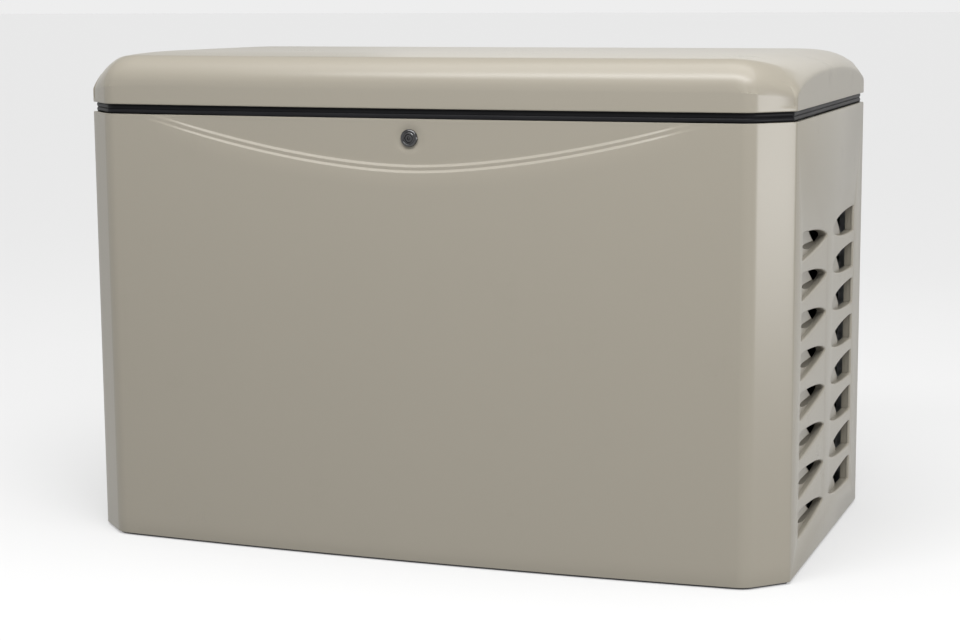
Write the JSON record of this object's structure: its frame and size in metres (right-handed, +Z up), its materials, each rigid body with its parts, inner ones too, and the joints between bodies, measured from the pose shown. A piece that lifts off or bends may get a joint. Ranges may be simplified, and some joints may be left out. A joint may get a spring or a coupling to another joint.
{
  "type": "home standby generator",
  "caption": "Air-cooled standby generating set in a chamfered, bowed enclosure with a lockable crowned lid, lift-off front, louvred ends, V-twin engine, alternator, muffler bay and controls.",
  "frame": {"origin": "on the ground under the middle of the enclosure", "axes": "+X towards the louvred intake end, -Y out of the front panel with the lock, +Z up"},
  "size_m": [1.2, 0.717, 0.8136],
  "materials": {
    "air_cleaner_body": "moulded",
    "air_cleaner_cover": "moulded",
    "alternator_rotor": "laminated steel",
    "alternator_stator": "die cast",
    "auto_button": "moulded key",
    "base_tray": "satin powder coat",
    "battery": "moulded case",
    "blower_housing": "satin black paint",
    "breaker_box": "grey paint",
    "breaker_toggle": "moulded",
    "bulkhead": "galvanised",
    "control_box": "moulded case",
    "crankcase": "cast aluminium alloy, rough",
    "crankshaft": "ground",
    "cylinder_front": "die cast",
    "cylinder_rear": "die cast",
    "dipstick": "yellow moulded cap",
    "end_frame_left": "galvanised",
    "end_frame_right": "galvanised",
    "engine_cradle": "satin black paint",
    "exhaust_baffle": "galvanised",
    "exhaust_pipe_front": "heat-tinted",
    "exhaust_pipe_rear": "heat-tinted",
    "flywheel_fan": "die cast",
    "front_panel": "satin moulded polymer, fine texture",
    "fuel_inlet_pipe": "turned",
    "fuel_mixer": "die cast",
    "gas_regulator": "die cast",
    "hinge_leaf_body_left": "zinc plated",
    "hinge_leaf_body_right": "zinc plated",
    "hinge_leaf_lid_left": "zinc plated",
    "hinge_leaf_lid_right": "zinc plated",
    "hinge_pin_left": "zinc plated",
    "hinge_pin_right": "zinc plated",
    "intake_baffle": "galvanised",
    "isolator_front_left": "moulded rubber",
    "isolator_front_right": "moulded rubber",
    "isolator_rear_left": "moulded rubber",
    "isolator_rear_right": "moulded rubber",
    "left_end_panel": "satin moulded polymer, fine texture",
    "lid": "satin moulded polymer, fine texture",
    "lid_frame": "galvanised",
    "lid_seal": "matt rubber",
    "lid_stay_arm": "zinc plated",
    "lid_stay_track": "zinc plated",
    "lid_striker": "zinc plated",
    "lock_barrel": "glossy black",
    "lock_housing": "glossy black",
    "lock_pawl": "zinc plated",
    "muffler": "aluminised steel",
    "muffler_bracket": "galvanised",
    "off_button": "moulded key",
    "oil_filter": "gloss paint",
    "rear_panel": "satin moulded polymer, fine texture",
    "right_end_panel": "satin moulded polymer, fine texture",
    "run_button": "moulded key",
    "starter_motor": "satin black paint",
    "valve_cover_front": "die cast",
    "valve_cover_rear": "die cast"
  },
  "bodies": {
    "enclosure": {"base_tray": "base_tray", "rear_panel": "rear_panel", "right_end_panel": "right_end_panel", "left_end_panel": "left_end_panel", "end_frame_left": "end_frame_left", "end_frame_right": "end_frame_right", "intake_baffle": "intake_baffle", "exhaust_baffle": "exhaust_baffle", "bulkhead": "bulkhead", "hinge_leaf_body_left": "hinge_leaf_body_left", "hinge_leaf_body_right": "hinge_leaf_body_right", "hinge_pin_left": "hinge_pin_left", "hinge_pin_right": "hinge_pin_right", "engine_cradle": "engine_cradle", "isolator_front_left": "isolator_front_left", "isolator_front_right": "isolator_front_right", "isolator_rear_left": "isolator_rear_left", "isolator_rear_right": "isolator_rear_right", "crankcase": "crankcase", "cylinder_front": "cylinder_front", "cylinder_rear": "cylinder_rear", "valve_cover_front": "valve_cover_front", "valve_cover_rear": "valve_cover_rear", "blower_housing": "blower_housing", "alternator_stator": "alternator_stator", "air_cleaner_body": "air_cleaner_body", "fuel_mixer": "fuel_mixer", "exhaust_pipe_front": "exhaust_pipe_front", "exhaust_pipe_rear": "exhaust_pipe_rear", "muffler": "muffler", "muffler_bracket": "muffler_bracket", "fuel_inlet_pipe": "fuel_inlet_pipe", "gas_regulator": "gas_regulator", "oil_filter": "oil_filter", "starter_motor": "starter_motor", "battery": "battery", "control_box": "control_box", "breaker_box": "breaker_box"},
    "lid": {"lid": "lid", "lid_frame": "lid_frame", "lid_seal": "lid_seal", "lid_striker": "lid_striker", "lid_stay_track": "lid_stay_track", "hinge_leaf_lid_left": "hinge_leaf_lid_left", "hinge_leaf_lid_right": "hinge_leaf_lid_right"},
    "stay_arm": {"lid_stay_arm": "lid_stay_arm"},
    "front": {"front_panel": "front_panel", "lock_housing": "lock_housing"},
    "lock": {"lock_barrel": "lock_barrel", "lock_pawl": "lock_pawl"},
    "running_gear": {"crankshaft": "crankshaft", "flywheel_fan": "flywheel_fan", "alternator_rotor": "alternator_rotor"},
    "dipstick": {"dipstick": "dipstick"},
    "air_cleaner_cover": {"air_cleaner_cover": "air_cleaner_cover"},
    "off_button": {"off_button": "off_button"},
    "auto_button": {"auto_button": "auto_button"},
    "run_button": {"run_button": "run_button"},
    "breaker_toggle": {"breaker_toggle": "breaker_toggle"}
  },
  "joints": [
    {"name": "lid_hinge", "type": "hinge", "parent": "enclosure", "child": "lid", "pos_m": [0, 0.3515, 0.722], "axis": [-1, 0, 0], "range_deg": [0, 70]},
    {"name": "stay_swing", "type": "hinge", "parent": "enclosure", "child": "stay_arm", "pos_m": [0.5605, 0.0464, 0.695], "axis": [-1, 0, 0], "range_deg": [0, 142]},
    {"name": "front_pull", "type": "slide", "parent": "enclosure", "child": "front", "axis": [0, -1, 0], "range_m": [0, 0.3]},
    {"name": "lock_turn", "type": "hinge", "parent": "front", "child": "lock", "pos_m": [0, -0.3505, 0.685], "axis": [0, 1, 0], "range_deg": [0, 90]},
    {"name": "crank_spin", "type": "hinge", "parent": "enclosure", "child": "running_gear", "pos_m": [0, 0.02, 0.24], "axis": [1, 0, 0], "continuous": true},
    {"name": "dipstick_pull", "type": "slide", "parent": "enclosure", "child": "dipstick", "axis": [0, 0, 1], "range_m": [0, 0.16]},
    {"name": "air_cover_lift", "type": "slide", "parent": "enclosure", "child": "air_cleaner_cover", "axis": [0, 0, 1], "range_m": [0, 0.1]},
    {"name": "off_press", "type": "slide", "parent": "enclosure", "child": "off_button", "axis": [0, 0.9701, -0.2425], "range_m": [0, 0.0015], "stiffness_N_per_m": 900},
    {"name": "auto_press", "type": "slide", "parent": "enclosure", "child": "auto_button", "axis": [0, 0.9701, -0.2425], "range_m": [0, 0.0015], "stiffness_N_per_m": 900},
    {"name": "run_press", "type": "slide", "parent": "enclosure", "child": "run_button", "axis": [0, 0.9701, -0.2425], "range_m": [0, 0.0015], "stiffness_N_per_m": 900},
    {"name": "breaker_throw", "type": "hinge", "parent": "enclosure", "child": "breaker_toggle", "pos_m": [-0.165, -0.318, 0.51], "axis": [1, 0, 0], "range_deg": [0, 50]}
  ],
  "couplings": [
    {"joint": "stay_swing", "follows": "lid_hinge", "ratio": 2.0129}
  ]
}
